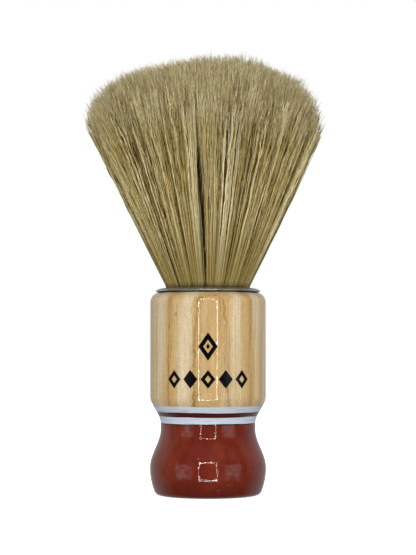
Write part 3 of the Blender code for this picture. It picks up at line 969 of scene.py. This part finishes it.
def tubes(points, thick, tone, share, random):
    # a three-sided tapered tube round each centre line, closed below by a triangle and above by a point.
    # ring(strand, station, side) = centre + thick (cos side u + sin side v), u and v square to the strand
    count, stations = points.shape[:2]
    along = points[:, -1] - points[:, 0]
    along /= np.linalg.norm(along, axis=1, keepdims=True)
    u = np.cross(along, [0.0, 1.0, 0.0])
    u /= np.linalg.norm(u, axis=1, keepdims=True)
    v = np.cross(along, u)
    side = np.arange(3) * 2 * np.pi / 3 + random.uniform(0, 2 * np.pi, (count, 1))
    around = np.cos(side)[..., None] * u[:, None] + np.sin(side)[..., None] * v[:, None]
    rings = points[:, :-1, None] + thick[None, :-1, None, None] * around[:, None]
    perStrand = (stations - 1) * 3 + 1
    vertices = np.concatenate([rings.reshape(count, -1, 3), points[:, -1:]], 1).reshape(-1, 3)
    k, s = np.meshgrid(np.arange(stations - 2) * 3, np.arange(3), indexing="ij")
    nextSide = (s + 1) % 3
    lower, upper = [k + s, k + nextSide, k + 3 + nextSide], [k + s, k + 3 + nextSide, k + 3 + s]
    walls = np.concatenate([np.stack(lower, -1).reshape(-1, 3), np.stack(upper, -1).reshape(-1, 3)])
    last = (stations - 2) * 3
    cone = [[last + i, last + (i + 1) % 3, perStrand - 1] for i in range(3)]
    pattern = np.concatenate([walls, cone, [[0, 2, 1]]])
    faces = (pattern[None] + np.arange(count)[:, None, None] * perStrand).reshape(-1, 3)
    up = np.repeat(share[:-1], 3).tolist() + [share[-1]]
    uv = np.stack([np.repeat(tone, perStrand), np.tile(up, count)], -1)
    return vertices, faces, uv


bristle = {
    # shades from the darkest strand to the palest
    "shades": (
        (0.03, (0.090, 0.052, 0.012)),
        (0.25, (0.310, 0.198, 0.042)),
        (0.50, (0.610, 0.470, 0.155)),
        (0.74, (0.860, 0.730, 0.335)),
        (0.96, (1.000, 0.950, 0.660)),
    ),
    "grey": (0.58, 0.51, 0.30),
    "tip": (0.76, 0.71, 0.49),
    "root": (0.300, 0.215, 0.052),
    "black": (0.024, 0.016, 0.011),
    "rust": (0.40, 0.16, 0.035),
}


def bristleFinish():
    # the piece's UV map holds each strand's tone across and its length upwards
    finish = Finish("boarBristle")
    where = finish.node("UVMap", {"uv_map": "strand"})
    tone, along, _ = finish.axes(where)
    blotch = finish.noise(finish.place((1.0, 1.0, 0.10)), 1.0, 2.0) - 0.5
    glint = finish.noise(finish.place((2.4, 2.4, 0.50)), 1.0, 2.0) - 0.5
    body = finish.node("ValToRGB", {"stops": bristle["shades"]}, {0: tone + blotch * 0.30 + glint * 0.55})
    greyer = finish.noise(finish.place((1.3, 1.3, 0.03)), 1.0, 1.0)
    body = finish.mix(finish.step(greyer, 0.50, 0.68) * 0.4, body, bristle["grey"])
    body = finish.mix(0.72 - 0.72 * finish.step(along, 0.05, 0.52), body, bristle["root"])
    body = finish.mix(finish.step(along, 0.90, 1.0) * 0.40, body, bristle["tip"])
    # black strands: a few real black hairs, and those laid in the partings as painted shade
    body = finish.mix(finish.maths("LESS_THAN", tone, 0.03), body, bristle["black"])
    body = finish.mix(finish.maths("GREATER_THAN", tone, 0.97), body, bristle["rust"])
    # painted shade in the ferrule's mouth, in two steps
    mouth = 0.25 + 0.35 * finish.step(along, 0.020, 0.030) + 0.40 * finish.step(along, 0.030, 0.056)
    body = finish.tint(body, mouth)
    return finish.finishWith(BaseColor=body, Roughness=0.42 + 0.2 * blotch, Specular=0.16)


def strandPiece(name, vertices, faces, uv, material):
    mesh = bpy.data.meshes.new(name)
    mesh.vertices.add(len(vertices))
    mesh.vertices.foreach_set("co", (vertices * mm).astype(np.float32).ravel())
    mesh.loops.add(faces.size)
    mesh.loops.foreach_set("vertex_index", faces.astype(np.int32).ravel())
    mesh.polygons.add(len(faces))
    mesh.polygons.foreach_set("loop_start", np.arange(0, faces.size, 3, dtype=np.int32))
    mesh.polygons.foreach_set("use_smooth", np.ones(len(faces), bool))
    mesh.update(calc_edges=True)
    layer = mesh.uv_layers.new(name="strand")
    layer.data.foreach_set("uv", uv[faces.ravel()].astype(np.float32).ravel())
    mesh.materials.append(material)
    piece = bpy.data.objects.new(name, mesh)
    bpy.context.scene.collection.objects.link(piece)
    return piece


def makeBristles():
    random = np.random.default_rng(strands["seed"])
    material = bristleFinish()
    points, tone, ring = strandPaths(random)
    tips, tipTone = splitTips(points, tone, random)
    share = np.linspace(0, 1, strands["stations"])
    taper = strands["rootThick"] + (strands["tipThick"] - strands["rootThick"]) * share**1.5
    fine = flags["thick"] * np.array([1.0, 0.8, 0.3])
    sectors = strands["sectors"]

    def sector(places):
        turn = np.arctan2(places[:, 0, 0], -places[:, 0, 1]) / (2 * np.pi) % 1
        return (turn * sectors).astype(int) % sectors

    at, tipAt = sector(points), sector(tips)
    for n in range(sectors):
        split = tipAt == n
        groups = [tubes(tips[split], fine, tipTone[split], np.array([0.9, 0.95, 1.0]), random)]
        for depth in strands["depths"]:
            here, keep = (at == n) & (ring >= depth["from"]) & (ring < depth["to"]), list(depth["keep"])
            groups.append(tubes(points[here][:, keep], taper[keep], tone[here], share[keep], random))
        counts = np.cumsum([0] + [len(g[0]) for g in groups])
        vertices, uv = (np.concatenate([g[i] for g in groups]) for i in (0, 2))
        faces = np.concatenate([g[1] + first for g, first in zip(groups, counts)])
        piece = strandPiece(f"bristles{n + 1}", vertices, faces, uv, material)
        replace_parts(piece, "bristle_head")
        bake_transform(piece)
        print("bristle sector", n + 1, len(faces), "triangles")


knot = {"waist": 11.0}


def knotFinish():
    finish = Finish("packedBristle")
    fibre = finish.noise(finish.place((3.5, 3.5, 0.05)), 1.0, 2.0)
    colour = finish.mix(fibre, (0.13, 0.09, 0.035), (0.42, 0.32, 0.14))
    return finish.finishWith(BaseColor=colour, Roughness=0.5 + 0.2 * fibre, Normal=finish.bump(fibre, 0.12))


def makeKnotRoot():
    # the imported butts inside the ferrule, waisted under the twine, ending just below the mouth
    low, top = height("bristle_root", 0), fan["mouth"] - 0.9
    twine = (height("binding_twine", 0) - 0.4, height("binding_twine", 1) + 0.4)
    full = fan["knotRadius"] - 0.05
    z = np.linspace(low, top, 60)
    inWaist = np.clip((z - twine[0]) / 0.6 + 1, 0, 1) * np.clip((twine[1] - z) / 0.6 + 1, 0, 1)
    r = full + (knot["waist"] - 0.15 - full) * inWaist
    r, z = joined((0.0, low), (full - 0.15, low), (r[1:], z[1:]), (full - 0.3, top + 0.1), (0.0, top + 0.1))
    piece = turnedPiece("packedRoot", r, z, knotFinish(), sides=96)
    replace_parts(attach(piece, "handle_body"), "bristle_root")


makeCamera()
makeStudio()
makeFloor()
print("studio made")
makeHandle()
makeCoats()
makeMark()
print("handle made")
makeFerrule()
makeKnotRoot()
hidden = {"resin_plug": resinFinish(), "glue_bed": glueFinish(), "binding_twine": twineFinish()}
for node, material in hidden.items():
    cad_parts[node].data.materials.clear()
    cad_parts[node].data.materials.append(material)
print("ferrule and knot made")
makeBristles()
print("bristles made")
bpy.context.scene.view_settings.view_transform = "Standard"
